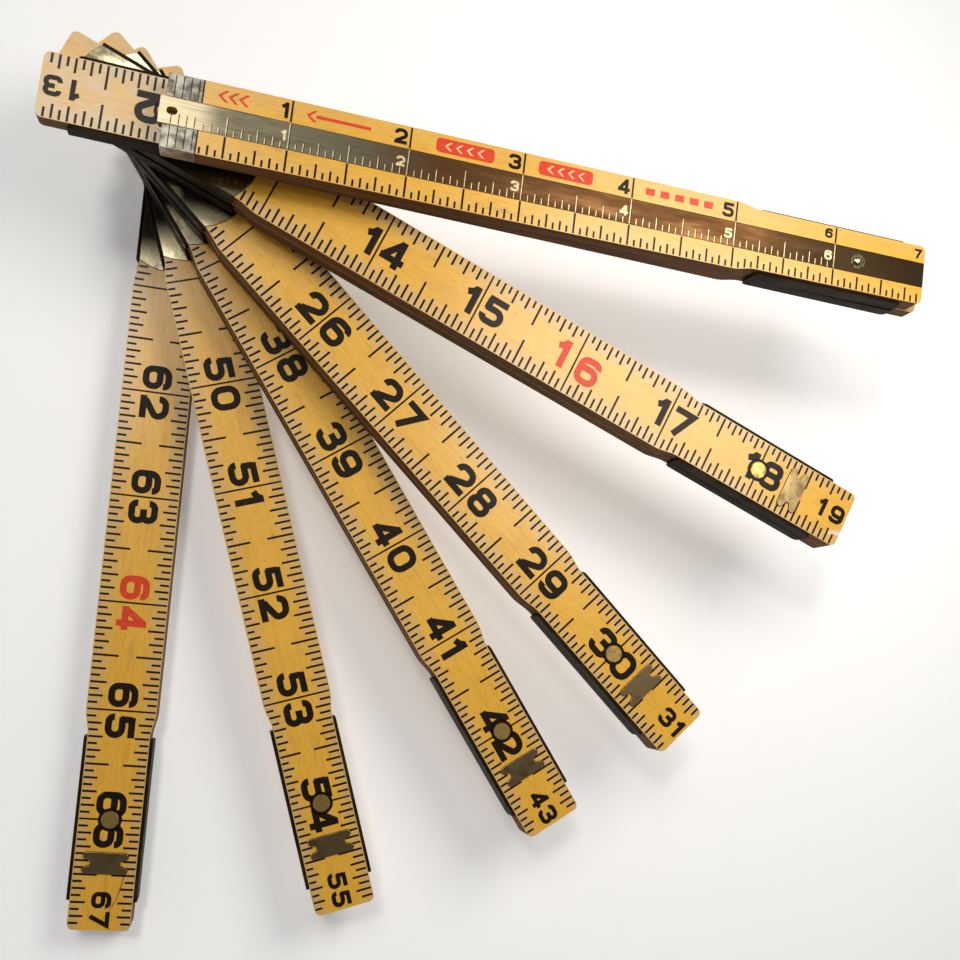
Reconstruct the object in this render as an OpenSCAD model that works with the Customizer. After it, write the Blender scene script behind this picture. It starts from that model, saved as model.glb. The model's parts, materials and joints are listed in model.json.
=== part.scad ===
// Six-foot folding rule: twelve wooden sections joined by riveted plate joints,
// with a brass extension slide in the first section.
// Sections are numbered along the scale. Section 12 lies flat on the table with its
// 72 inch end towards +Y, and each lower-numbered section lies one level higher.

/* [Sections] */
// Width of a section
section_w = 15.9; // [15.4:0.1:17]
// Thickness of sections 2 to 12
section_t = 3.5; // [3.3:0.1:3.8]
// Thickness of the first section, which holds the slide
first_t = 4.2; // [4.1:0.1:4.8]
// Air between two sections that lie one over the other
gap = 0.5; // [0.45:0.05:0.8]
// Length of a section beyond its pivot
overhang = 25.4; // [25:0.1:28]
// Shortfall of the first section at its jointed end
first_trim = 1.8; // [0:0.1:2.4]
// Radius of a section's end corners
corner_r = 1.4; // [1:0.1:3]

/* [Joint plates] */
// Thickness of the plate sheet
sheet = 0.75; // [0.6:0.05:0.8]
// Half the length of the folded side flanges
flange_reach = 19.05; // [17:0.05:19.2]
// Half the length of the plate's flat face at its centre line
face_reach = 21.0; // [20.5:0.1:21.6]
// Radius of the curved ends of the flat face
face_end_r = 13.5; // [13:0.5:20]
// Radius of the rounded free corners of a flange
flange_corner_r = 1.2; // [0.8:0.1:1.8]
// Free air between the two plates of a joint
plate_air = 0.3; // [0.28:0.01:0.4]
// Distance of the detent dimples and holes from the pivot
detent_at = 13.2; // [12:0.1:14.5]
// Diameter of a detent hole
detent_d = 2.4; // [2:0.1:2.8]

/* [Rivets] */
// Diameter of the rivet shank
shank_d = 3.0; // [2.6:0.1:3.2]
// Diameter of the head that shows on top
head_d = 4.0; // [3.8:0.1:4.2]
// Height of the top head above the wood
head_rise = 0.25; // [0.15:0.05:0.3]
// Diameter of the flush lower head
foot_d = 4.6; // [4.2:0.1:4.8]

/* [Strike plates] */
// Size of a strike plate along the section
strike_l = 5.0; // [4.6:0.1:5.4]
// Size of a strike plate across the section
strike_w = 10.2; // [9:0.1:11]
// Height of a strike plate above the wood
strike_rise = 0.35; // [0.25:0.05:0.35]
// Distance of a strike plate from its pivot
strike_at = 10.0; // [9.6:0.1:10.4]

/* [Slide] */
// Width of the slide where it shows
slide_w = 5.8; // [5.4:0.1:6]
// Width of the slide's foot under the wooden lips
foot_w = 7.6; // [7.2:0.1:7.8]
// Length of slide that stands out of the zero end at rest
slide_lead = 1.0; // [0.8:0.1:1.4]
// Distance of the thumb stud from the zero end
stud_at = 158.5; // [157.5:0.1:159]
// Diameter of the thumb stud
stud_d = 3.0; // [2.6:0.1:3.2]

/* [End caps] */
// Length of the metal end caps
cap_l = 7.2; // [6.4:0.1:8]
// Thickness of the end cap metal
cap_t = 0.45; // [0.4:0.05:0.5]

/* [Fan] */
// Opening angle of joint 1
open_1 = 0.7; // [0:0.1:10]
// Opening angle of joint 2
open_2 = 19.6; // [10:0.1:30]
// Opening angle of joint 4
open_4 = 20.7; // [10:0.1:30]
// Opening angle of joint 6
open_6 = 11.7; // [10:0.1:30]
// Opening angle of joint 8
open_8 = 17.0; // [10:0.1:30]
// Opening angle of joint 10
open_10 = 18.3; // [10:0.1:30]

/* [Hidden] */
$fn = 48;
inch = 25.4;
sections = 12;
joint_pitch = 6 * inch;
first_l = 7 * inch - first_trim;
level = section_t + gap;

// Fits
rub = 0.05;             // sheet against the wood that it wraps
ease = 0.1;             // pocket outlines around the pieces that sit in them
shank_air = 0.05;       // radial running clearance of a rivet
slide_air = 0.075;      // each side of the slide in its groove

// Joint plates
flange_half = section_w / 2 - 0.1;
neck_w = 2 * (flange_half - sheet - rub);
plate_sink = sheet - (gap - plate_air) / 2;
shoulder_start = flange_reach + 0.15;
shoulder_end = inch;
flange_h = section_t - 0.3;
boss_d = 9;
boss_rise = 0.2;
dimple_r = 3;
dimple_rise = 0.2;

// Rivets
head_room = 0.55;       // radial room between a top head and the wood around it
head_ring_d = head_d + 2 * head_room;
head_sink = 0.35;
foot_sink = 0.05;
foot_t = 0.6;
groove_head_d = 4.3;
groove_head_t = 0.45;

// Strike plates
strike_sink = 0.35;
notch_depth = 1.75;
notch_mouth = 1.6;
notch_root = 0.8;
prong_t = 0.7;
prong_h = 1.6;

// Slide and its groove
groove_floor = 1.9;
foot_h = 0.85;
foot_top = groove_floor + rub + foot_h;
slide_tip_r = 0.8;
slot_at = 2.6;
slot_l = 2.2;
slot_w = 1.6;
stud_ring_d = 3.6;
stud_shank_d = 1.6;
stud_rise = 0.75;

// Place of the root section: its middle stands on the origin
root_span = joint_pitch + overhang;
root_pivot_y = overhang - root_span / 2;

function two(k) = k < 10 ? str("0", k) : str(k);
function joint_opening(j) =
    j == 1 ? open_1 : j == 2 ? open_2 : j == 4 ? open_4 :
    j == 6 ? open_6 : j == 8 ? open_8 : j == 10 ? open_10 : 0;

// Direction in which the scale of section k counts up
function heading(k) = k == sections ? 90 : heading(k + 1) + 180 + joint_opening(k);
function along(angle) = [cos(angle), sin(angle)];

// Pivot between sections j and j + 1; number 0 is the zero end of the scale
function pivot(j) = j == sections - 1
    ? [0, root_pivot_y]
    : pivot(j + 1) - joint_pitch * along(heading(j + 1));

function floor_of(k) = (sections - k) * level;
function thickness(k) = k == 1 ? first_t : section_t;

// Points of an arc, counted from angle a to angle b
function arc(centre, r, a, b, steps = 6) =
    [for (i = [0 : steps]) centre + r * along(a + (b - a) * i / steps)];

// Half width of a section at a distance inward from its pivot
function shoulder(x) =
    let (f = min(1, max(0, (x - shoulder_start) / (shoulder_end - shoulder_start))))
    neck_w / 2 + (section_w - neck_w) / 2 * (1 - cos(180 * f)) / 2;

shoulder_steps = 10;
function shoulder_points(side) =
    [for (i = [0 : shoulder_steps])
        let (x = shoulder_start + (shoulder_end - shoulder_start) * i / shoulder_steps)
        [x, side * shoulder(x)]];

function turned(points) = [for (i = [len(points) - 1 : -1 : 0]) points[i]];
function flipped(points, x) = [for (p = points) [x - p.x, p.y]];

// Outline of one end of a section, from its lower side round to its upper side.
// The pivot is at x = 0 and the end points towards -x.
function jointed_end() = concat(
    turned(shoulder_points(-1)),
    turned(arc([corner_r - overhang, corner_r - neck_w / 2], corner_r, 180, 270)),
    turned(arc([corner_r - overhang, neck_w / 2 - corner_r], corner_r, 90, 180)),
    shoulder_points(1));
function capped_end(x, half) = [[x, -half], [x, half]];

// Local frame of section k: its scale counts up along +x from its near pivot
module at_section(k) {
    translate([each pivot(k - 1), floor_of(k)]) rotate([0, 0, heading(k)]) children();
}

// Frame of joint j, turned with section k
module at_joint(j, k) {
    translate([each pivot(j), floor_of(k)]) rotate([0, 0, heading(k)]) children();
}

module jointed_outline() {
    near = jointed_end();
    polygon(concat(near, turned(flipped(near, joint_pitch))));
}

module first_outline() {
    half = section_w / 2;
    tip = first_l;
    polygon(concat(
        capped_end(0, half),
        turned([for (p = shoulder_points(1)) [joint_pitch - p.x, p.y]]),
        turned(arc([tip - corner_r, neck_w / 2 - corner_r], corner_r, 0, 90)),
        turned(arc([tip - corner_r, corner_r - neck_w / 2], corner_r, 270, 360)),
        [for (p = shoulder_points(-1)) [joint_pitch - p.x, p.y]]));
}

module last_outline() {
    half = section_w / 2;
    polygon(concat(jointed_end(), turned(capped_end(joint_pitch, half))));
}

// Flat face of a joint plate; grow widens it into the pocket that holds it
module plate_face(grow = 0) {
    tongue = neck_w / 2 - rub + grow;
    swing = asin(tongue / face_end_r);
    inset = face_reach + grow - face_end_r;
    polygon(concat(
        arc([inset, 0], face_end_r, -swing, swing),
        arc([-inset, 0], face_end_r, 180 - swing, 180 + swing)));
}

module plate_pocket() {
    union() {
        linear_extrude(plate_sink + rub) plate_face(ease);
        translate([-shoulder_start, -section_w / 2, 0])
            cube([2 * shoulder_start, section_w, plate_sink + rub]);
    }
}

// Side flange standing up from z = 0, with rounded free corners
module flange() {
    r = flange_corner_r;
    rotate([90, 0, 0]) translate([0, 0, -sheet]) linear_extrude(sheet)
        polygon(concat(
            [[-flange_reach, 0], [flange_reach, 0]],
            arc([flange_reach - r, flange_h - r], r, 0, 90),
            arc([r - flange_reach, flange_h - r], r, 90, 180)));
}

// Channel with its flat face at z = 0 and its flanges pointing up
module channel() {
    union() {
        linear_extrude(sheet) plate_face();
        translate([-flange_reach, -flange_half, 0])
            cube([2 * flange_reach, 2 * flange_half, sheet]);
        translate([0, flange_half - sheet, 0]) flange();
        translate([0, -flange_half, 0]) flange();
    }
}

// Channel under the far end of section j
module upper_plate(j) {
    color("#b9a878") at_joint(j, j) translate([0, 0, plate_sink - sheet]) difference() {
        union() {
            channel();
            translate([0, 0, -boss_rise]) cylinder(d = boss_d, h = boss_rise);
            for (x = [-detent_at, detent_at]) translate([x, 0, 0]) dimple();
        }
        translate([0, 0, -1]) cylinder(d = shank_d, h = 3);
    }
}

// Round-nosed dimple that hangs below a plate
module dimple() {
    intersection() {
        translate([0, 0, dimple_r - dimple_rise]) sphere(r = dimple_r);
        translate([0, 0, -dimple_rise]) cylinder(d = detent_d, h = dimple_rise + sheet / 2);
    }
}

// Channel over the near end of section j + 1
module lower_plate(j) {
    color("#b9a878") at_joint(j, j + 1)
        translate([0, 0, section_t + sheet - plate_sink]) rotate([180, 0, 0]) difference() {
            channel();
            translate([0, 0, -1]) cylinder(d = shank_d + 2 * shank_air, h = 3);
            for (x = [-detent_at, detent_at]) translate([x, 0, -1])
                cylinder(d = detent_d, h = 3);
        }
}

// Holes and pockets at a section's near pivot, where it is the lower one
module near_cuts() {
    translate([0, 0, section_t - plate_sink - rub]) plate_pocket();
    translate([0, 0, -1]) cylinder(d = shank_d + 2 * shank_air, h = section_t + 2);
    translate([0, 0, -1])
        cylinder(d = foot_d + 4 * shank_air, h = 1 + foot_sink + foot_t + shank_air);
}

// Holes and pockets at a section's far pivot, where it is the upper one
module far_cuts() {
    translate([0, 0, -1]) linear_extrude(1 + plate_sink + rub) plate_face(ease);
    translate([-shoulder_start, -section_w / 2, -1])
        cube([2 * shoulder_start, section_w, 1 + plate_sink + rub]);
    translate([0, 0, -1]) cylinder(d = shank_d, h = first_t + 2);
}

module head_recess(d, seat) {
    translate([0, 0, seat]) cylinder(d = d, h = first_t);
}

// Strike plate seen from above: four round-tipped lobes with a notch between each two
module strike_face(grow = 0) {
    lobe_r = (strike_l - notch_mouth) / 4;
    lobe = [strike_l / 2 - lobe_r, strike_w / 2 - lobe_r];
    root = [notch_root / 2 - grow, strike_w / 2 - notch_depth + grow];
    r = lobe_r + grow;
    polygon(concat(
        arc([lobe.x, lobe.y], r, 0, 180), [root, [-root.x, root.y]],
        arc([-lobe.x, lobe.y], r, 0, 180),
        arc([-lobe.x, -lobe.y], r, 180, 360), [[-root.x, -root.y], [root.x, -root.y]],
        arc([lobe.x, -lobe.y], r, 180, 360)));
}

// Prongs punched down out of the notches into the wood
module strike_prongs(grow = 0) {
    w = strike_w / 2 - notch_depth - prong_t;
    for (side = [-1, 1])
        translate([-notch_root / 2 - grow, side * (w + prong_t / 2) - prong_t / 2 - grow,
                   -prong_h - grow])
            cube([notch_root + 2 * grow, prong_t + 2 * grow, prong_h + 2 * grow]);
}

module strike_plate(k) {
    color("#c7a24b") at_section(k)
        translate([joint_pitch + strike_at, 0, section_t - strike_sink]) union() {
            linear_extrude(strike_sink + strike_rise) strike_face();
            strike_prongs();
        }
}

module strike_pocket() {
    translate([joint_pitch + strike_at, 0, section_t - strike_sink]) {
        linear_extrude(1) strike_face(rub);
        strike_prongs(rub);
    }
}

// Cross-section of the slide in the y-z plane, drawn out along x
module tee(length, grow) {
    rotate([90, 0, 90]) linear_extrude(length) polygon([
        [-foot_w / 2 - grow, groove_floor + rub - grow * 2 / 3],
        [foot_w / 2 + grow, groove_floor + rub - grow * 2 / 3],
        [foot_w / 2 + grow, foot_top + grow],
        [slide_w / 2 + grow, foot_top + grow],
        [slide_w / 2 + grow, first_t + (grow > 0 ? 1 : 0)],
        [-slide_w / 2 - grow, first_t + (grow > 0 ? 1 : 0)],
        [-slide_w / 2 - grow, foot_top + grow],
        [-foot_w / 2 - grow, foot_top + grow]]);
}

// Outside of a cap for wood of thickness t, with its end face at x = 0
module cap_block(t) {
    translate([0, -section_w / 2, 0]) cube([cap_l, section_w, t]);
}

// Wood under a cap, cut back by the cap's thickness and a little air
module cap_core(t, air) {
    back = cap_t + air;
    translate([back, back - section_w / 2, back])
        cube([cap_l + 1, section_w - 2 * back, t - 2 * back]);
}

module cap_cut(t) {
    difference() {
        translate([-1, -section_w / 2 - 1, -1]) cube([cap_l + 1 + rub, section_w + 2, t + 2]);
        cap_core(t, rub);
    }
}

module first_section() {
    difference() {
        linear_extrude(first_t) first_outline();
        translate([joint_pitch, 0, 0]) far_cuts();
        translate([joint_pitch, 0, 0])
            head_recess(groove_head_d + 2 * ease, groove_floor - groove_head_t);
        translate([-1, 0, 0]) tee(first_l + 2, slide_air);
        cap_cut(first_t);
    }
}

module middle_section(k) {
    difference() {
        linear_extrude(section_t) jointed_outline();
        near_cuts();
        translate([joint_pitch, 0, 0]) far_cuts();
        translate([joint_pitch, 0, 0]) head_recess(head_ring_d, section_t - head_sink);
        if (k > 2) strike_pocket();
    }
}

module last_section() {
    difference() {
        linear_extrude(section_t) last_outline();
        near_cuts();
        translate([joint_pitch, 0, 0]) mirror([1, 0, 0]) cap_cut(section_t);
    }
}

module section(k) {
    color("#d8a24a") at_section(k) {
        if (k == 1) first_section();
        else if (k == sections) last_section();
        else middle_section(k);
    }
}

// Rivet pressed through section j and turning in section j + 1
module rivet(j) {
    rise = level - foot_sink;
    top = j == 1 ? rise + groove_floor : rise + section_t + head_rise;
    seat = j == 1 ? top - groove_head_t : rise + section_t - head_sink;
    top_r = (j == 1 ? groove_head_d : head_d) / 2;
    edge = 0.12;
    color("#a98a4c") at_joint(j, j + 1) translate([0, 0, foot_sink])
        rotate_extrude() polygon([
            [0, 0], [foot_d / 2 - edge, 0], [foot_d / 2, edge], [foot_d / 2, foot_t],
            [shank_d / 2, foot_t], [shank_d / 2, seat], [top_r, seat],
            [top_r, top - edge], [top_r - edge, top], [0, top]]);
}

module extension_slide() {
    length = first_l + slide_lead;
    color("#b08a45") at_section(1) difference() {
        intersection() {
            translate([-slide_lead, 0, 0]) tee(length, 0);
            translate([0, 0, -1]) linear_extrude(first_t + 2) slide_plan();
        }
        translate([slot_at - slide_lead, 0, -1]) {
            for (side = [-1, 1]) translate([side * (slot_l - slot_w) / 2, 0, 0])
                cylinder(d = slot_w, h = first_t + 2);
            translate([-(slot_l - slot_w) / 2, -slot_w / 2, 0])
                cube([slot_l - slot_w, slot_w, first_t + 2]);
        }
        translate([stud_at, 0, -1]) cylinder(d = stud_shank_d, h = first_t + 2);
    }
}

// Plan of the slide, with eased corners at its leading tip
module slide_plan() {
    half = foot_w / 2;
    r = slide_tip_r;
    polygon(concat(
        [[first_l, -half], [first_l, half]],
        arc([r - slide_lead, half - r], r, 90, 180),
        arc([r - slide_lead, r - half], r, 180, 270)));
}

// Domed thumb stud riveted into the slide
module slide_stud() {
    dome = (pow(stud_d / 2, 2) + pow(stud_rise, 2)) / (2 * stud_rise);
    swing = asin(stud_d / 2 / dome);
    shank = 1.6;
    collar = 0.15;
    color("#c9a04a") at_section(1) translate([stud_at, 0, first_t - shank])
        rotate_extrude() polygon(concat(
            [[0, 0], [stud_shank_d / 2, 0], [stud_shank_d / 2, shank],
             [stud_ring_d / 2, shank], [stud_ring_d / 2, shank + collar]],
            arc([0, shank + collar + stud_rise - dome], dome, 90 - swing, 90)));
}

module zero_end_cap() {
    color("#a9a7a0") at_section(1) difference() {
        cap_block(first_t);
        cap_core(first_t, 0);
        translate([-1, 0, 0]) tee(cap_l + 2, slide_air);
    }
}

module tail_end_cap() {
    color("#a9a7a0") at_section(sections) translate([joint_pitch, 0, 0]) mirror([1, 0, 0])
        difference() {
            cap_block(section_t);
            cap_core(section_t, 0);
        }
}

for (k = [1 : sections])
    section(k);
for (j = [1 : sections - 1])
    upper_plate(j);
for (j = [1 : sections - 1])
    lower_plate(j);
for (j = [1 : sections - 1])
    rivet(j);
for (k = [3 : sections - 1])
    strike_plate(k);
extension_slide();
slide_stud();
zero_end_cap();
tail_end_cap();
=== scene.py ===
"""Looks for the folding rule: wood, metal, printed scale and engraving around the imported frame."""

import json
import math

import bmesh
import bpy
from mathutils import Matrix, Vector, geometry


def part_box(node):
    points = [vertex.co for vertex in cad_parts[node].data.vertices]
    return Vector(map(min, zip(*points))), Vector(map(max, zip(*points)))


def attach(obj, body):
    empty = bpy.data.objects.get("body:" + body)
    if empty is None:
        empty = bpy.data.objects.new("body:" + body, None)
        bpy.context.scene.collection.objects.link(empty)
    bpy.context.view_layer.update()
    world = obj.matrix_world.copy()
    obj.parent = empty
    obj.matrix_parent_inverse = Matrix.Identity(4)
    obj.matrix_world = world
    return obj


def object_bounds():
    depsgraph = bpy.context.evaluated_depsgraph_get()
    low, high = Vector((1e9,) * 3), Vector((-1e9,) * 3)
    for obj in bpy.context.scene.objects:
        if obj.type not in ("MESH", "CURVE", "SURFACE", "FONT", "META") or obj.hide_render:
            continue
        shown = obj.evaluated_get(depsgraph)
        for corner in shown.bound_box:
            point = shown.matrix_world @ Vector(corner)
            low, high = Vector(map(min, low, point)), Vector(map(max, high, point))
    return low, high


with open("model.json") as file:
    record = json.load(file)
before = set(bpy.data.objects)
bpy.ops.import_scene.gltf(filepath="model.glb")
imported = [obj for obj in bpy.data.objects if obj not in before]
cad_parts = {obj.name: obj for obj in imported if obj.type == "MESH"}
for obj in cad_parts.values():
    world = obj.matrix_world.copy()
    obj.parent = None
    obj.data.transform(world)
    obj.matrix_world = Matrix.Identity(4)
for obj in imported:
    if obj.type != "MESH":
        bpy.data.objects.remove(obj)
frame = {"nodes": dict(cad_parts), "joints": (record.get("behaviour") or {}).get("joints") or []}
cad_low, cad_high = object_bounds()

# ---------------------------------------------------------------- sizes, in metres

MM = 0.001
INCH = 0.0254
SECTIONS = 12
PITCH = 6 * INCH            # from pivot to pivot
HALF_WIDTH = 7.95 * MM      # half the width of a section
HALF_NECK = 7.05 * MM       # half its width at the joints
NECK_END = 19.2 * MM        # from the pivot to the start of the shoulder
SHOULDER_END = 25.4 * MM    # from the pivot to the full width
PLATE_REACH = 21.1 * MM     # metal on each side of a pivot, along the middle
PLATE_END_R = 13.5 * MM     # and the round of its end
CAP_LENGTH = 7.2 * MM
SLIDE_HALF = 2.9 * MM
FIRST_TRIM = 1.8 * MM       # section 1 ends this much short of 7 inches

INK_RISE = 0.02 * MM
INK_SINK = 0.03 * MM
EDGE_MARGIN = 0.2 * MM

# ---------------------------------------------------------------- section frames


def joint(name):
    return next(j for j in frame["joints"] if j["name"] == name)


def two(k):
    return f"{k:02d}"


def pivot(j):
    return Vector(joint("fold_" + two(j))["pos_m"])


def reading(k):
    """Unit vector along which the scale of section k counts up."""
    if k == 1:
        return -Vector(joint("slide_out")["axis"]).normalized()
    if k == SECTIONS:
        start = pivot(SECTIONS - 1)
        return Vector((-start.x, -start.y, 0)).normalized()
    step = pivot(k) - pivot(k - 1)
    return Vector((step.x, step.y, 0)).normalized()


def face_matrix(k, top):
    """Frame of a printed face: x along the scale from its first pivot, y up the figures, z out."""
    low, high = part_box("section_" + two(k))
    along = reading(k)
    start = pivot(k - 1) if k > 1 else pivot(1) - PITCH * along
    up = Vector((-along.y, along.x, 0))
    if top:
        x, z, at = along, Vector((0, 0, 1)), Vector((start.x, start.y, high.z))
    else:
        far = start + PITCH * along
        x, z, at = -along, Vector((0, 0, -1)), Vector((far.x, far.y, low.z))
    m = Matrix((x, up, z)).transposed().to_4x4()
    m.translation = at
    return m


# ---------------------------------------------------------------- materials


class Nodes:
    """A material's node tree, built with short calls."""

    def __init__(self, name):
        self.material = bpy.data.materials.new(name)
        self.material.use_nodes = True
        self.tree = self.material.node_tree
        self.tree.nodes.clear()
        self.shader = self.node("ShaderNodeBsdfPrincipled")
        out = self.node("ShaderNodeOutputMaterial")
        self.link(self.shader.outputs[0], out.inputs["Surface"])
        self.coords = self.node("ShaderNodeTexCoord")

    def node(self, kind, **settings):
        n = self.tree.nodes.new(kind)
        for key, value in settings.items():
            setattr(n, key, value)
        return n

    def link(self, a, b):
        self.tree.links.new(a, b)

    def set(self, **sockets):
        for key, value in sockets.items():
            self.shader.inputs[key.replace("_", " ")].default_value = value

    def mapped(self, scale, turn=0.0, shift=(0, 0, 0)):
        """Object coordinates turned so that x runs along the stick, then stretched.

        scale is in cycles per metre: along the stick, across it and through it."""
        turned = self.node("ShaderNodeMapping")
        turned.inputs["Rotation"].default_value = (0, 0, -turn)
        turned.inputs["Location"].default_value = shift
        self.link(self.coords.outputs["Object"], turned.inputs[0])
        scaled = self.node("ShaderNodeMapping")
        scaled.inputs["Scale"].default_value = scale
        self.link(turned.outputs[0], scaled.inputs[0])
        return scaled.outputs[0]

    def noise(self, vector, detail, rough):
        n = self.node("ShaderNodeTexNoise")
        n.inputs["Scale"].default_value = 1.0
        n.inputs["Detail"].default_value = detail
        n.inputs["Roughness"].default_value = rough
        self.link(vector, n.inputs["Vector"])
        return n.outputs[0]

    def span(self, value, low, high, to_low=0.0, to_high=1.0):
        n = self.node("ShaderNodeMapRange", interpolation_type="SMOOTHSTEP")
        for i, v in enumerate((low, high, to_low, to_high), start=1):
            n.inputs[i].default_value = v
        self.link(value, n.inputs[0])
        return n.outputs[0]

    def maths(self, how, a, b):
        n = self.node("ShaderNodeMath", operation=how)
        for i, v in enumerate((a, b)):
            if isinstance(v, (int, float)):
                n.inputs[i].default_value = v
            else:
                self.link(v, n.inputs[i])
        return n.outputs[0]

    def ramp(self, value, *stops):
        n = self.node("ShaderNodeValToRGB")
        while len(n.color_ramp.elements) < len(stops):
            n.color_ramp.elements.new(0.5)
        for e, (at, colour) in zip(n.color_ramp.elements, stops):
            e.position = at
            e.color = (*colour, 1)
        self.link(value, n.inputs[0])
        return n.outputs[0]

    def mix(self, factor, a, b):
        n = self.node("ShaderNodeMix", data_type="RGBA")
        for socket, v in ((n.inputs[0], factor), (n.inputs[6], a), (n.inputs[7], b)):
            if isinstance(v, (int, float)):
                socket.default_value = v
            elif isinstance(v, tuple):
                socket.default_value = (*v, 1)
            else:
                self.link(v, socket)
        return n.outputs[2]

    def bump(self, height, strength, distance):
        n = self.node("ShaderNodeBump")
        n.inputs["Strength"].default_value = strength
        n.inputs["Distance"].default_value = distance
        self.link(height, n.inputs["Height"])
        self.link(n.outputs[0], self.shader.inputs["Normal"])

    def stick(self, turn, at):
        """Distance along a stick from the point at, and distance from its middle line."""
        turned = self.node("ShaderNodeMapping", vector_type="TEXTURE")
        turned.inputs["Rotation"].default_value = (0, 0, turn)
        turned.inputs["Location"].default_value = at
        self.link(self.coords.outputs["Object"], turned.inputs[0])
        split = self.node("ShaderNodeSeparateXYZ")
        self.link(turned.outputs[0], split.inputs[0])
        return split.outputs[0], self.maths("ABSOLUTE", split.outputs[1], 0.0)

    def facing_up(self):
        """1 on faces that lie flat, 0 on the sides."""
        split = self.node("ShaderNodeSeparateXYZ")
        self.link(self.coords.outputs["Normal"], split.inputs[0])
        flat = self.maths("ABSOLUTE", split.outputs[2], 0.0)
        return self.span(flat, 0.35, 0.8)


def wood(name, turn, at, shift, handled, end_sheen):
    """Varnished yellow hardwood with its grain along the stick.

    handled says how far its edges have been rubbed pale; the last argument sets how strongly its far
    end is painted pale, a painted sheen standing in for glare on the varnish."""
    n = Nodes(name)
    n.set(Coat_Roughness=0.22, Coat_IOR=1.6, Specular_IOR_Level=0.3)
    along, off = n.stick(turn, at)
    up = n.facing_up()
    fibre = n.noise(n.mapped((38, 1500, 1500), turn, shift), 4, 0.62)
    fleck = n.noise(n.mapped((520, 4200, 4200), turn, shift), 2, 0.5)
    mottle = n.noise(n.mapped((150, 240, 240), turn, shift), 5, 0.6)
    base = n.ramp(fibre, (0.25, (0.70, 0.35, 0.028)), (0.5, (0.79, 0.42, 0.040)),
                  (0.75, (0.84, 0.47, 0.055)))
    warm = n.mix(n.span(mottle, 0.35, 0.65, 0.0, 0.6), base, (0.86, 0.46, 0.045))
    flecked = n.mix(n.span(fleck, 0.55, 0.70, 0.0, 0.45), warm, (0.45, 0.21, 0.035))
    rubbed = n.maths("MULTIPLY", n.span(off, 3.6 * MM, 6.0 * MM, 0.0, handled),
                     n.span(mottle, 0.25, 0.7, 0.5, 1.0))
    pale = n.mix(rubbed, flecked, (0.63, 0.42, 0.18))
    grime = n.noise(n.mapped((90, 300, 300), turn, shift), 4, 0.6)
    soiled = n.mix(n.span(grime, 0.56, 0.78, 0.0, 0.30), pale, (0.42, 0.23, 0.06))
    # Painted sheen: the far end painted pale and greyish in place of glare on the varnish
    painted_sheen = n.maths("MULTIPLY", n.span(along, -30 * MM, 0.0, 0.0, end_sheen),
                       n.span(mottle, 0.38, 0.62, 0.3, 1.0))
    face = n.mix(painted_sheen, soiled, (0.64, 0.53, 0.37))
    # Sides and ends painted dark brown: partly darker edge grain, mostly painted shade, since little
    # light falls on them
    side = n.mix(n.span(fibre, 0.3, 0.7), (0.070, 0.027, 0.007), (0.17, 0.072, 0.020))
    n.link(n.mix(up, side, face), n.shader.inputs["Base Color"])
    n.link(n.span(up, 0.0, 1.0, 0.80, 0.42), n.shader.inputs["Roughness"])
    n.link(n.maths("MULTIPLY", up, 0.55), n.shader.inputs["Coat Weight"])
    varnish = n.noise(n.mapped((1300, 2000, 2000), turn, shift), 3, 0.55)
    n.bump(n.maths("ADD", varnish, n.maths("MULTIPLY", fibre, 0.6)), 0.6, 0.00012)
    return n.material


def plated(name, turn, at):
    """Brass-toned plated sheet: polished faces with smudges; its flanges are painted near-black as
    painted shade.
    """
    n = Nodes(name)
    n.set(Specular_IOR_Level=0.03)
    smudge = n.noise(n.mapped((160, 260, 260), turn), 5, 0.62)
    face = n.mix(n.span(smudge, 0.38, 0.66), (0.33, 0.30, 0.20), (0.12, 0.105, 0.06))
    # Painted shade: the flanges, and the metal out past the neck, are a dark non-metal instead of
    # the lit plating
    shaded_flank = n.mix(n.span(smudge, 0.35, 0.7), (0.014, 0.010, 0.006), (0.036, 0.025, 0.013))
    _, off = n.stick(turn, at)
    inside = n.span(off, HALF_NECK - 0.1 * MM, HALF_NECK + 0.05 * MM, 1.0, 0.0)
    up = n.maths("MULTIPLY", n.facing_up(), inside)
    n.link(n.mix(up, shaded_flank, face), n.shader.inputs["Base Color"])
    n.link(up, n.shader.inputs["Metallic"])
    worn = n.span(smudge, 0.4, 0.75, 0.20, 0.46)
    flank_rough = n.maths("MULTIPLY", n.maths("SUBTRACT", 1.0, up), 0.45)
    n.link(n.maths("ADD", n.maths("MULTIPLY", worn, up), flank_rough),
           n.shader.inputs["Roughness"])
    wave = n.noise(n.mapped((90, 140, 140), turn), 2, 0.4)
    n.bump(wave, 0.25, 0.0002)
    return n.material


def aged_brass(name, bright, dark, rough, grain=(700, 700, 700)):
    """Brass with spots of patina; grain sets how small they are."""
    n = Nodes(name)
    n.set(Metallic=1.0)
    spots = n.noise(n.mapped(grain), 5, 0.62)
    n.link(n.mix(n.span(spots, 0.38, 0.68), bright, dark), n.shader.inputs["Base Color"])
    n.link(n.span(spots, 0.35, 0.7, *rough), n.shader.inputs["Roughness"])
    n.bump(spots, 0.12, 0.00005)
    return n.material


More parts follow.
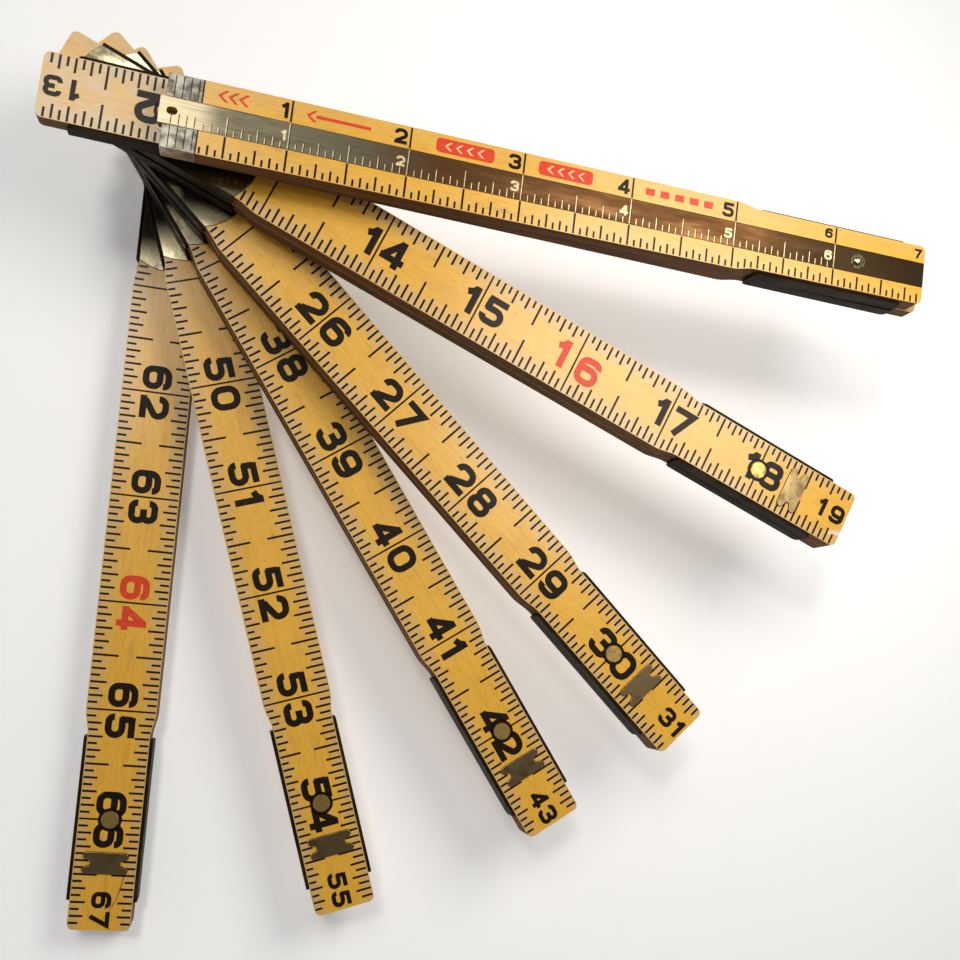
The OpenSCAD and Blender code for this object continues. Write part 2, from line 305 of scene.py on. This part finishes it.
def slide_brass(turn, tip):
    """Slide: brushed along its length, cream at its tip, then olive, then darkening brown."""
    n = Nodes("slide_brass")
    n.set(Metallic=1.0)
    far, _ = n.stick(turn, tip)
    patina = n.noise(n.mapped((60, 300, 300), turn), 5, 0.62)
    brush = n.noise(n.mapped((60, 6000, 6000), turn), 2, 0.5)
    brown = n.ramp(patina, (0.30, (0.064, 0.027, 0.010)), (0.52, (0.105, 0.046, 0.017)),
                   (0.72, (0.20, 0.095, 0.036)))
    olive = n.ramp(patina, (0.32, (0.085, 0.075, 0.050)), (0.60, (0.20, 0.175, 0.115)))
    cream = n.ramp(patina, (0.35, (0.62, 0.53, 0.36)), (0.65, (0.42, 0.35, 0.22)))
    body = n.mix(n.span(far, 36 * MM, 60 * MM), olive, brown)
    ended = n.mix(n.span(far, 132 * MM, 150 * MM, 0.0, 0.85), body, (0.035, 0.022, 0.011))
    tipped = n.mix(n.span(far, 6 * MM, 12 * MM), cream, ended)
    n.link(n.mix(n.span(brush, 0.35, 0.65, 0.0, 0.35), tipped, (0.06, 0.042, 0.022)),
           n.shader.inputs["Base Color"])
    n.link(n.span(patina, 0.3, 0.7, 0.46, 0.30), n.shader.inputs["Roughness"])
    n.bump(n.maths("ADD", brush, patina), 0.25, 0.00004)
    return n.material


def nickel(turn, name):
    """Worn nickel plate of the end caps."""
    n = Nodes(name)
    n.set(Metallic=1.0)
    worn = n.noise(n.mapped((420, 420, 420), turn), 5, 0.65)
    n.link(n.mix(n.span(worn, 0.4, 0.7), (0.36, 0.33, 0.27), (0.15, 0.135, 0.10)),
           n.shader.inputs["Base Color"])
    n.link(n.span(worn, 0.35, 0.7, 0.40, 0.62), n.shader.inputs["Roughness"])
    n.bump(worn, 0.3, 0.00006)
    return n.material


def bare_wood(turn):
    """Pale wood where the finish has chipped off."""
    n = Nodes("bare_wood")
    n.set(Roughness=0.8)
    fibre = n.noise(n.mapped((200, 2600, 2600), turn), 3, 0.6)
    n.link(n.mix(n.span(fibre, 0.35, 0.7), (0.80, 0.68, 0.56), (0.60, 0.44, 0.30)),
           n.shader.inputs["Base Color"])
    n.bump(fibre, 0.3, 0.00006)
    return n.material


def ink(name, colour, worn_colour, amount, gloss):
    """Printing under varnish: small breaks let the wood's colour through."""
    n = Nodes(name)
    n.set(Roughness=0.45, Specular_IOR_Level=gloss, Coat_Weight=gloss, Coat_Roughness=0.12)
    breaks = n.noise(n.mapped((2600, 2600, 2600)), 3, 0.6)
    n.link(n.mix(n.span(breaks, 0.50, 0.80, 0.0, amount), colour, worn_colour),
           n.shader.inputs["Base Color"])
    n.bump(breaks, 0.2, 0.00004)
    return n.material


def engraved():
    """Cut marks in the slide: cleaner brass that catches the light."""
    n = Nodes("engraving")
    n.set(Metallic=0.85, Roughness=0.45)
    shine = n.noise(n.mapped((1500, 1500, 1500)), 3, 0.6)
    n.link(n.mix(n.span(shine, 0.4, 0.7), (0.70, 0.58, 0.34), (0.45, 0.35, 0.19)),
           n.shader.inputs["Base Color"])
    return n.material


# ---------------------------------------------------------------- figures

# Figures are strokes on a plate of this size, in millimetres; corners may be rounded
FIGURE_W, FIGURE_H, STROKE = 5.75, 6.8, 1.55
EDGE = STROKE / 2
LEFT, RIGHT, BASE, TOP = EDGE, FIGURE_W - EDGE, EDGE, FIGURE_H - EDGE


def stroke(*points, closed=False):
    """A stroke's centre line: (x, y) for a sharp corner, (x, y, r) for a rounded one."""
    return points, closed


FIGURES = {
    "0": [stroke((LEFT, BASE, 1.8), (RIGHT, BASE, 1.8), (RIGHT, TOP, 1.8), (LEFT, TOP, 1.8),
                 closed=True)],
    "1": [stroke((2.4, 0), (2.4, FIGURE_H)), stroke((0.35, 4.75), (1.5, 5.2, 1.2), (2.4, 6.4))],
    "2": [stroke((LEFT, 4.4), (LEFT, TOP, 1.5), (RIGHT, TOP, 1.7), (RIGHT, 3.6, 1.1), (1.0, 1.2)),
          stroke((0.15, BASE), (FIGURE_W - 0.1, BASE))],
    "3": [stroke((LEFT, 4.7), (LEFT, TOP, 1.2), (RIGHT - 0.15, TOP, 1.3),
                 (RIGHT - 0.15, 3.5, 1.1), (2.2, 3.5)),
          stroke((2.2, 3.5), (RIGHT, 3.5, 1.3), (RIGHT, BASE, 1.35), (LEFT, BASE, 1.2),
                 (LEFT, 2.1))],
    "4": [stroke((4.1, 0), (4.1, FIGURE_H)), stroke((3.9, TOP), (0.9, 2.1)),
          stroke((0.1, 1.9), (FIGURE_W, 1.9))],
    "5": [stroke((0.75, TOP), (FIGURE_W - 0.2, TOP)), stroke((1.35, TOP), (1.25, 3.4)),
          stroke((0.85, 3.85), (RIGHT, 3.85, 1.5), (RIGHT, BASE, 1.5), (LEFT, BASE, 1.2),
                 (LEFT, 2.05))],
    "6": [stroke((LEFT, BASE, 1.5), (RIGHT, BASE, 1.5), (RIGHT, 4.0, 1.45), (LEFT, 4.0, 1.2),
                 closed=True),
          stroke((LEFT, 2.4), (LEFT, TOP, 1.7), (RIGHT, TOP, 1.1), (RIGHT, 4.85))],
    "7": [stroke((0.25, TOP), (FIGURE_W - 0.8, TOP), (1.9, 0))],
    "8": [stroke((0.98, 3.55, 1.1), (4.77, 3.55, 1.1), (4.77, TOP, 1.2), (0.98, TOP, 1.2),
                 closed=True),
          stroke((LEFT, BASE, 1.35), (RIGHT, BASE, 1.35), (RIGHT, 3.55, 1.3), (LEFT, 3.55, 1.3),
                 closed=True)],
}
FIGURES["9"] = [(tuple((FIGURE_W - p[0], FIGURE_H - p[1], *p[2:]) for p in points), closed)
                for points, closed in FIGURES["6"]]
NARROW = {"1": 3.2}        # figures that are narrower than the rest
AFTER_ONE = 0.22           # more room after a 1 in the small numbers, in heights


def rounded(points, closed, steps=5):
    """Centre line with its rounded corners turned into short chords."""
    line = []
    count = len(points)
    for i, p in enumerate(points):
        here = Vector(p[:2])
        if len(p) < 3 or (not closed and i in (0, count - 1)):
            line.append(here)
            continue
        into = (Vector(points[i - 1][:2]) - here).normalized()
        out = (Vector(points[(i + 1) % count][:2]) - here).normalized()
        half = into.angle(out) / 2
        reach = p[2] / math.tan(half)
        centre = here + (into + out).normalized() * (p[2] / math.sin(half))
        a, b = here + into * reach - centre, here + out * reach - centre
        sweep = a.angle_signed(b)
        for s in range(steps + 1):
            turn = Matrix.Rotation(-sweep * s / steps, 2)
            line.append(centre + turn @ a)
    return line


def ribbon(line, closed, width):
    """Quads that give a centre line its width, mitred at the corners."""
    count = len(line)
    sides = []
    for i, p in enumerate(line):
        before = line[i - 1] if closed or i else None
        after = line[(i + 1) % count] if closed or i < count - 1 else None
        d = [(p - before).normalized()] if before is not None else []
        d += [(after - p).normalized()] if after is not None else []
        mean = sum(d, Vector((0, 0))).normalized()
        normal = Vector((-mean.y, mean.x))
        stretch = 1 / max(0.35, mean.dot(d[0]))
        sides.append((p + normal * width / 2 * stretch, p - normal * width / 2 * stretch))
    last = count if closed else count - 1
    quads = []
    for i in range(last):
        (a, b), (c, e) = sides[i], sides[(i + 1) % count]
        quads.append([b, e, c, a])
    return quads


def flat_union(polygons):
    """Vertices, triangles and rim edges of the union of flat polygons."""
    verts, faces = [], []
    for polygon in polygons:
        faces.append(list(range(len(verts), len(verts) + len(polygon))))
        verts += polygon
    points, _, found, _, _, origins = geometry.delaunay_2d_cdt(verts, [], faces, 1, 1e-4)
    triangles = [list(t) for t, origin in zip(found, origins) if origin]
    for t in triangles:
        a, b, c = (points[i] for i in t)
        if (b - a).cross(c - a) < 0:
            t.reverse()
    sides = {(t[i], t[(i + 1) % 3]) for t in triangles for i in range(3)}
    rim = [e for e in sides if (e[1], e[0]) not in sides]
    return points, triangles, rim


def figure_shape(char):
    quads = []
    for points, closed in FIGURES[char]:
        quads += ribbon(rounded(points, closed), closed, STROKE)
    return flat_union(quads)


SHAPES = {char: figure_shape(char) for char in FIGURES}


def figure_width(char, height):
    return NARROW.get(char, FIGURE_W) * height / FIGURE_H


class Print:
    """Flat marks on one face, gathered into one thin solid mesh."""

    def __init__(self, rise=INK_RISE, sink=INK_SINK):
        self.verts, self.faces = [], []
        self.rise, self.sink = rise, sink

    def shape(self, points, triangles, rim):
        base, count = len(self.verts), len(points)
        self.verts += [(x, y, self.rise) for x, y in points]
        self.verts += [(x, y, -self.sink) for x, y in points]
        self.faces += [[base + i for i in t] for t in triangles]
        self.faces += [[base + count + i for i in reversed(t)] for t in triangles]
        self.faces += [[base + b, base + a, base + count + a, base + count + b] for a, b in rim]

    def polygon(self, points):
        self.shape(*flat_union([[Vector(p) for p in points]]))

    def box(self, x0, y0, x1, y1):
        points = [(x0, y0), (x1, y0), (x1, y1), (x0, y1)]
        self.shape(points, [[0, 1, 2], [0, 2, 3]], [(0, 1), (1, 2), (2, 3), (3, 0)])

    def line(self, x, y0, y1, width):
        if y1 > y0:
            self.box(x - width / 2, y0, x + width / 2, y1)

    def figure(self, char, x, y, height):
        """One figure with its lower left corner at x, y."""
        points, triangles, rim = SHAPES[char]
        k = height / FIGURE_H
        self.shape([(x + p.x * k, y + p.y * k) for p in points], triangles, rim)

    def number_before(self, text, x, y, height, space):
        """A number that ends at x, centred on height y."""
        for i in range(len(text) - 1, -1, -1):
            x -= figure_width(text[i], height)
            self.figure(text[i], x, y - height / 2, height)
            x -= space + (AFTER_ONE * height if i and text[i - 1] == "1" else 0)

    def number_across(self, text, x, y, height, space, slip=(0, 0)):
        """Tens before and units after the line at x, centred on height y.

        slip moves the tens away from the line and the units down."""
        self.number_before(text[0], x - space - slip[0], y, height, 0)
        if len(text) > 1:
            self.figure(text[1], x + space, y - height / 2 - slip[1], height)

    def crack(self, points, width):
        """A thin line that tapers to nothing at its far end."""
        count = len(points)
        upper = [(x, y + width / 2 * (1 - i / count)) for i, (x, y) in enumerate(points)]
        lower = [(x, y - width / 2 * (1 - i / count)) for i, (x, y) in enumerate(points)]
        self.shape(*flat_union([[Vector(p) for p in (lower[i], lower[i + 1], upper[i + 1], upper[i])]
                                for i in range(count - 1)]))

    def ring(self, x, y, inner, outer, low, high, sides=40):
        """A flat ring between two heights."""
        base = len(self.verts)
        turns = [2 * math.pi * i / sides for i in range(sides)]
        for r, z in ((inner, high), (outer, high), (outer, low), (inner, low)):
            self.verts += [(x + r * math.cos(t), y + r * math.sin(t), z) for t in turns]
        for row in range(4):
            a, b = base + row * sides, base + (row + 1) % 4 * sides
            for i in range(sides):
                n = (i + 1) % sides
                self.faces.append([a + i, b + i, b + n, a + n])

    def piece(self, name, matrix, material, body, slot):
        if not self.verts:
            return None
        mesh = bpy.data.meshes.new(name)
        mesh.from_pydata(self.verts, [], self.faces)
        mesh.transform(matrix)
        mesh.materials.append(material)
        obj = bpy.data.objects.new(name, mesh)
        bpy.context.scene.collection.objects.link(obj)
        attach(obj, body)
        return obj


# ---------------------------------------------------------------- the printed scale

TICK_W = 0.5 * MM
LINE_W = 0.42 * MM
FIGURE_HEIGHT = 6.8 * MM
FIGURE_SPACE = 0.75 * MM
END_FIGURE_HEIGHT = 4.45 * MM
END_FIGURE_SPACE = 0.6 * MM
END_MARGIN = 0.7 * MM
END_AIR = 0.5 * MM          # bare wood left at a section's end
METAL_AIR = 0.4 * MM        # bare wood left beside plates and caps
RED_EVERY = 16
RED_SLIP = {16: (1.5 * MM, 0.9 * MM)}      # numbers whose red did not land square
# Length of each kind of mark, by sixteenths of an inch, and how much it loses at the necks
REACH = {8: (5.75 * MM, 0.5 * MM), 4: (3.7 * MM, 0.45 * MM), 2: (3.2 * MM, 0.15 * MM),
         1: (2.1 * MM, 0.0)}
STRIP_REACH = {16: 5.0 * MM, 8: 5.0 * MM, 4: 3.25 * MM, 2: 2.35 * MM, 1: 1.65 * MM}
STRIP_FIGURE_HEIGHT = 3.4 * MM
STRIP_END_FIGURE_HEIGHT = 2.3 * MM
BADGE_ROUND_R = 0.9 * MM
CUT_W = 0.2 * MM            # marks cut into metal
SEAM_W = 0.32 * MM          # shadow where a cap ends
SLIDE_REACH = {16: 5.6 * MM, 8: 3.7 * MM, 4: 2.6 * MM, 2: 1.9 * MM, 1: 1.3 * MM}
SLIDE_TIP_REACH = 2.4 * MM
SLIDE_FIGURE_HEIGHT = 2.3 * MM
# Some sections were printed off centre
DRIFT = {3: 0.35 * MM, 5: -0.15 * MM, 7: -0.3 * MM, 9: -0.45 * MM}


def mark_kind(sixteenths):
    """The largest of 16, 8, 4, 2 and 1 that divides the mark's number."""
    return next(k for k in (16, 8, 4, 2, 1) if sixteenths % k == 0)


def half_width(x, near_joint, far_joint):
    """Half the wood's width at x from the near pivot, with its necks and shoulders."""
    inward = min(x if near_joint else PITCH, (PITCH - x) if far_joint else PITCH)
    f = min(1.0, max(0.0, (inward - NECK_END) / (SHOULDER_END - NECK_END)))
    return HALF_NECK + (HALF_WIDTH - HALF_NECK) * (1 - math.cos(math.pi * f)) / 2


class Face:
    """What is printed on one side of a section, and where it begins and ends."""

    def __init__(self, k, top):
        self.name = ("top_" if top else "back_") + two(k)
        self.body = "rule_section_" + two(k)
        self.matrix = face_matrix(k, top)
        self.near_joint = k > 1 if top else k < SECTIONS
        self.far_joint = k < SECTIONS if top else k > 1
        self.label = 6 * (k - 1) if top else 6 * (SECTIONS - k)
        self.drift = DRIFT.get(k, 0.0) if top else 0.0
        self.start = -INCH if self.near_joint else 0.0
        self.stop = 7 * INCH if self.far_joint else PITCH
        if k == 1 and top:
            self.stop -= FIRST_TRIM
        if k == 1 and not top:
            self.start += FIRST_TRIM

    def half(self, x):
        return half_width(x, self.near_joint, self.far_joint)

    def printed(self, x):
        """True where the wood shows, clear of plates and end caps."""
        side = PLATE_REACH - PLATE_END_R + math.sqrt(PLATE_END_R ** 2 - HALF_NECK ** 2)
        if self.near_joint and x < side + METAL_AIR:
            return False
        low = self.start + (END_AIR if self.near_joint else CAP_LENGTH + METAL_AIR)
        high = self.stop - (END_AIR if self.far_joint else CAP_LENGTH + METAL_AIR)
        return low < x < high

    def marks(self):
        """(place, kind) of every sixteenth that is printed."""
        first = math.ceil(self.start / INCH * 16)
        last = math.floor(self.stop / INCH * 16)
        for i in range(first, last + 1):
            x = i * INCH / 16
            if self.printed(x):
                yield x, mark_kind(i)


def print_scale(face, black, red):
    """Marks along both edges, a full line at each inch, and the numbers."""
    for x, kind in face.marks():
        edge = face.half(x) - EDGE_MARGIN
        if kind == 16:
            black.line(x, -edge, edge, LINE_W)
            continue
        length, loss = REACH[kind]
        length -= loss * (HALF_WIDTH - face.half(x)) / (HALF_WIDTH - HALF_NECK)
        black.line(x, edge - length + face.drift, edge, TICK_W)
        black.line(x, -edge, length - edge + face.drift, TICK_W)
    for inch in range(2 if face.near_joint else 1, 7):
        x = inch * INCH
        label = face.label + inch
        if face.printed(x):
            where = red if label % RED_EVERY == 0 else black
            where.number_across(str(label), x, face.drift, FIGURE_HEIGHT, FIGURE_SPACE,
                                RED_SLIP.get(label, (0, 0)))
    end = face.stop - (0 if face.far_joint else CAP_LENGTH)
    label = face.label + (7 if face.far_joint else 6)
    black.number_before(str(label), end - END_MARGIN, face.drift, END_FIGURE_HEIGHT,
                        END_FIGURE_SPACE)


def print_first_strips(face, black, red, pale):
    """Section 1's top: a strip of wood on each side of the slide."""
    upper = SLIDE_HALF + 0.25 * MM
    for x, kind in face.marks():
        edge = face.half(x) - EDGE_MARGIN
        inner = max(upper, face.half(x) - STRIP_REACH[kind])
        black.line(x, -edge, -inner, TICK_W * 0.9)
        if kind == 16:
            black.line(x, upper, edge, LINE_W)
    middle = (SLIDE_HALF + HALF_WIDTH) / 2
    for inch in range(1, 6):
        black.number_before(str(inch), inch * INCH - 0.7 * MM, middle, STRIP_FIGURE_HEIGHT, 0)
    small = STRIP_END_FIGURE_HEIGHT
    black.number_before("6", 6 * INCH - 0.9 * MM, middle - 0.2 * MM, small, 0)
    black.number_before("7", face.stop - 0.9 * MM, middle - 0.4 * MM, small, 0)
    print_pointers(red, pale, middle)


def print_pointers(red, pale, middle):
    """Plain red bars and arrowheads that point the way the slide draws out."""
    half, depth, thick = 1.25 * MM, 1.5 * MM, 0.75 * MM

    def arrowhead(where, x, size=1.0):
        d, h, t = depth * size, half * size, thick * size
        where.polygon([(x, middle), (x + d, middle - h), (x + d + t, middle - h),
                       (x + t, middle), (x + d + t, middle + h), (x + d, middle + h)])

    def badge(start, length):
        """A red bar with round corners and pale arrowheads on it."""
        x0, x1, y0, y1 = start, start + length, middle - 1.6 * MM, middle + 1.6 * MM
        corners = ((x0, y0), (x1, y0), (x1, y1), (x0, y1))
        red.polygon(rounded([(*c, BADGE_ROUND_R) for c in corners], True))
        for i in range(4):
            arrowhead(pale, x0 + (1.9 + 2.4 * i) * MM, 0.75)

    for i in range(3):
        arrowhead(red, 0.40 * INCH + i * 2.1 * MM)
    red.box(1.20 * INCH, middle - 0.35 * MM, 1.66 * INCH, middle + 0.35 * MM)
    arrowhead(red, 1.12 * INCH)
    badge(2.22 * INCH, 13 * MM)
    badge(3.13 * INCH, 12.6 * MM)
    for i in range(5):
        x = (4.12 + 0.14 * i) * INCH
        red.box(x, middle - 0.8 * MM, x + 2.2 * MM, middle + 0.8 * MM)


def cap_marks(face, marks, slot_half):
    """Sixteenths cut into the metal end cap, on each side of the slide if there is one."""
    at_start = not face.near_joint
    for i in range(1, 5):
        x = i * INCH / 16 if at_start else face.stop - i * INCH / 16
        for low, high in ((slot_half, HALF_WIDTH), (-HALF_WIDTH, -slot_half)):
            marks.line(x, low + 0.25 * MM, high - 0.3 * MM, CUT_W)
    seam = CAP_LENGTH if at_start else face.stop - CAP_LENGTH
    for low, high in ((slot_half, HALF_WIDTH), (-HALF_WIDTH, -slot_half)):
        marks.line(seam, low + 0.1 * MM, high - 0.05 * MM, SEAM_W)


def engrave_slide(marks, dark):
    """Marks along the slide's lower edge, a full line and a number at each inch.

    Each has a bright cut and, beside it, a painted shadow line; the first few, on the cream tip, are
    only dark."""
    low = 0.12 * MM - SLIDE_HALF
    for i in range(1, 6 * 16 + 1):
        x, length = i * INCH / 16, SLIDE_REACH[mark_kind(i)]
        if i > 4:
            marks.line(x, low, low + length, CUT_W)
            # painted shadow of the groove's wall beside the cut
            dark.line(x + 0.19 * MM, low, low + length, 0.18 * MM)
        else:
            dark.line(x, low, low + SLIDE_TIP_REACH, CUT_W)
    for inch in range(1, 7):
        marks.number_before(str(inch), inch * INCH - 0.6 * MM, 0, SLIDE_FIGURE_HEIGHT, 0)


# ---------------------------------------------------------------- build

# Damage on two sections, in millimetres from the far pivot and from the middle line
CHIP = [(21.6, -5.0), (23.6, -4.6), (25.35, -4.1), (25.35, -2.6), (23.6, -3.3), (22.4, -4.2)]
CRACK = [(12.6, 4.5), (15.4, 4.0), (18.1, 3.3), (20.9, 1.9), (22.8, 0.6), (24.6, -0.6)]
HEAD_R = 2.0 * MM
RECESS_R = 2.55 * MM
# outer edge of the painted shade ring on the wood
SHADE_RING_R = 2.7 * MM
RECESS = 0.35 * MM          # depth of the recess
RECESS_SHOWS = 0.12 * MM    # how far down the painted shade ring in it lies
RING_EASE = 0.02 * MM       # keeps the painted shade ring clear of the metal and the wood


def grime_ring(marks):
    """Painted shade: a black ring down in the recess around a rivet's head and on the wood at its
    rim, in place of the shadow in the gap.
    """
    marks.ring(PITCH, 0, HEAD_R + RING_EASE, RECESS_R - RING_EASE, -RECESS - RING_EASE,
               -RECESS_SHOWS)
    marks.ring(PITCH, 0, RECESS_R - RING_EASE, SHADE_RING_R, -INK_SINK, INK_RISE)


black_ink = ink("scale_ink", (0.010, 0.006, 0.003), (0.12, 0.06, 0.015), 0.45, 0.1)
red_paint = ink("red_ink", (0.70, 0.055, 0.02), (0.80, 0.22, 0.08), 0.6, 0.15)
pale_ink = ink("pale_ink", (0.80, 0.56, 0.30), (0.70, 0.35, 0.15), 0.6, 0.3)
engraving = engraved()
turns = {k: math.atan2(reading(k).y, reading(k).x) for k in range(1, SECTIONS + 1)}


def dress(node, material):
    """Gives a CAD node its material, through the object's own slots."""
    obj = frame["nodes"][node]
    for s in obj.material_slots:
        s.link = "OBJECT"
        s.material = material


def soften(node, width):
    """Rounds a CAD node's sharp edges a little."""
    obj = frame["nodes"][node]
    weld = obj.modifiers.new("weld", "WELD")
    weld.merge_threshold = 0.000002
    bevel = obj.modifiers.new("bevel", "BEVEL")
    bevel.width = width
    bevel.segments = 2
    bevel.limit_method = "ANGLE"
    bevel.angle_limit = math.radians(40)
    bevel.use_clamp_overlap = True
    bevel.harden_normals = True


# How far a section's edges are rubbed pale, and how strongly its far end is painted pale as a
# painted sheen
HANDLED = {1: 0.25}
HANDLED_ELSE = 0.8
END_SHEEN = {2: 0.6}


def dress_section(k):
    name = "section_" + two(k)
    shift = (0.37 * k, 0.11 * k, 0.05 * k)      # a different stretch of grain for each
    at = pivot(k) if k < SECTIONS else pivot(k - 1)
    handled, end_sheen = HANDLED.get(k, HANDLED_ELSE), END_SHEEN.get(k, 0.0)
    dress(name, wood("wood_" + two(k), turns[k], at, shift, handled, end_sheen))
    soften(name, 0.22 * MM)


def dress_joint(j):
    for side, k in (("upper", j), ("lower", j + 1)):
        node = side + "_plate_" + two(j)
        dress(node, plated(side + "_plating_" + two(j), turns[k], pivot(j)))
    soften("upper_plate_" + two(j), 0.16 * MM)
    soften("lower_plate_" + two(j), 0.16 * MM)
    dress("rivet_" + two(j), rivet_brass)


rivet_brass = aged_brass("rivet_brass", (0.60, 0.39, 0.11), (0.27, 0.185, 0.085),
                         rough=(0.34, 0.52))
strike_brass = aged_brass("strike_brass", (0.42, 0.29, 0.13), (0.20, 0.14, 0.07),
                          rough=(0.25, 0.45), grain=(300, 300, 300))
for k in range(1, SECTIONS + 1):
    dress_section(k)
for j in range(1, SECTIONS):
    dress_joint(j)
for k in range(3, SECTIONS):
    dress("strike_plate_" + two(k), strike_brass)
    soften("strike_plate_" + two(k), 0.15 * MM)
dress("extension_slide", slide_brass(turns[1], face_matrix(1, True).translation))
soften("extension_slide", 0.1 * MM)
dress("slide_stud", aged_brass("stud_brass", (0.42, 0.34, 0.19), (0.26, 0.20, 0.10),
                               rough=(0.12, 0.25)))
dress("zero_end_cap", nickel(turns[1], "zero_cap_nickel"))
dress("tail_end_cap", nickel(turns[SECTIONS], "tail_cap_nickel"))
soften("zero_end_cap", 0.12 * MM)
soften("tail_end_cap", 0.12 * MM)

for k in range(1, SECTIONS + 1):
    for top in (True, False):
        face = Face(k, top)
        black, red, cap = Print(), Print(), Print()
        if k == 1 and top:
            pale = Print(rise=INK_RISE + 0.01 * MM, sink=-INK_RISE / 2)
            print_first_strips(face, black, red, pale)
            pale.piece("pale_" + face.name, face.matrix, pale_ink, face.body, "red_ink")
            cap_marks(face, cap, SLIDE_HALF)
        else:
            print_scale(face, black, red)
            if not (face.near_joint and face.far_joint):
                cap_marks(face, cap, 0.0)
        if top and 1 < k < SECTIONS:
            # painted shade ring round each rivet head
            grime_ring(black)
        black.piece("scale_" + face.name, face.matrix, black_ink, face.body, "scale_ink")
        red.piece("red_" + face.name, face.matrix, red_paint, face.body, "red_ink")
        cap.piece("cap_marks_" + face.name, face.matrix, black_ink, face.body, "scale_ink")

slide_marks, tip_marks_and_shadows = Print(rise=0.012 * MM), Print(rise=0.012 * MM)
engrave_slide(slide_marks, tip_marks_and_shadows)
slide_marks.piece("slide_engraving", face_matrix(1, True), engraving, "slide", "slide_brass")
tip_marks_and_shadows.piece("slide_tip_marks", face_matrix(1, True), black_ink, "slide", "scale_ink")

chip = Print(rise=0.01 * MM)
chip.polygon([(PITCH + x * MM, y * MM) for x, y in CHIP])
chip.piece("corner_chip", face_matrix(3, True), bare_wood(turns[3]), "rule_section_03", "wood")
crack = Print(rise=0.01 * MM)
crack.crack([(PITCH + x * MM, y * MM) for x, y in CRACK], 0.22 * MM)
crack.piece("hair_crack", face_matrix(11, True), black_ink, "rule_section_11", "scale_ink")

# ---------------------------------------------------------------- stage, light and camera


def backdrop():
    """Pale floor that curves up into a wall all round."""
    radius, wall, bend = 1.6, 1.3, 0.5
    profile = [(radius, 0.0)]
    profile += [(radius + bend * math.sin(a), bend * (1 - math.cos(a)))
                for a in (math.radians(d) for d in range(10, 91, 10))]
    profile.append((radius + bend, wall))
    bm = bmesh.new()
    rings = 64
    rows = []
    for r, z in profile:
        rows.append([bm.verts.new((r * math.cos(2 * math.pi * i / rings),
                                   r * math.sin(2 * math.pi * i / rings), z - 0.0003))
                     for i in range(rings)])
    bm.faces.new(rows[0])
    for low, high in zip(rows, rows[1:]):
        for i in range(rings):
            n = (i + 1) % rings
            bm.faces.new((low[i], low[n], high[n], high[i]))
    mesh = bpy.data.meshes.new("floor")
    bm.to_mesh(mesh)
    bm.free()
    n = Nodes("floor_paper")
    n.set(Roughness=0.9, Specular_IOR_Level=0.1, Emission_Color=(1, 1, 1, 1),
          Emission_Strength=0.22)
    tone = n.noise(n.mapped((30, 30, 30)), 2, 0.5)
    n.link(n.mix(tone, (0.93, 0.93, 0.93), (0.91, 0.91, 0.91)), n.shader.inputs["Base Color"])
    mesh.materials.append(n.material)
    obj = bpy.data.objects.new("floor", mesh)
    bpy.context.scene.collection.objects.link(obj)


def area_light(name, at, aim, size, power, colour):
    data = bpy.data.lights.new(name, "AREA")
    data.shape = "DISK"
    data.size = size
    data.energy = power
    data.color = colour
    obj = bpy.data.objects.new(name, data)
    obj.location = at
    obj.rotation_mode = "QUATERNION"
    obj.rotation_quaternion = (Vector(aim) - Vector(at)).to_track_quat("-Z", "Y")
    bpy.context.scene.collection.objects.link(obj)


def camera(at, forward, up, lens, shift):
    data = bpy.data.cameras.new("camera")
    data.sensor_width = 36
    data.lens = lens
    data.shift_x, data.shift_y = shift
    data.clip_start, data.clip_end = 0.01, 10
    obj = bpy.data.objects.new("camera", data)
    back = -Vector(forward).normalized()
    right = Vector(up).cross(back).normalized()
    m = Matrix((right, back.cross(right), back)).transposed().to_4x4()
    m.translation = at
    obj.matrix_world = m
    bpy.context.scene.collection.objects.link(obj)
    bpy.context.scene.camera = obj


backdrop()
middle = (cad_low + cad_high) / 2
area_light("key", (-0.21, 0.266, 0.82), middle, 0.14, 1.45, (1.0, 0.96, 0.90))
area_light("side", (0.172, 0.104, 0.22), middle, 0.15, 0.365, (1.0, 0.96, 0.90))
area_light("glint", (-0.17, 0.45, 0.80), middle, 0.26, 1.1, (1.0, 0.98, 0.94))
world = bpy.data.worlds.new("world")
world.use_nodes = True
world.node_tree.nodes["Background"].inputs[0].default_value = (0.9, 0.93, 1.0, 1)
world.node_tree.nodes["Background"].inputs[1].default_value = 0.08
bpy.context.scene.world = world
bpy.context.scene.view_settings.view_transform = "Standard"
camera(at=(0.0267, -0.0213, 0.2589), forward=(0.2001, 0.0699, -0.9773),
       up=(-0.0972, 0.9940, 0.0512), lens=38.2, shift=(0.022, 0.1206))
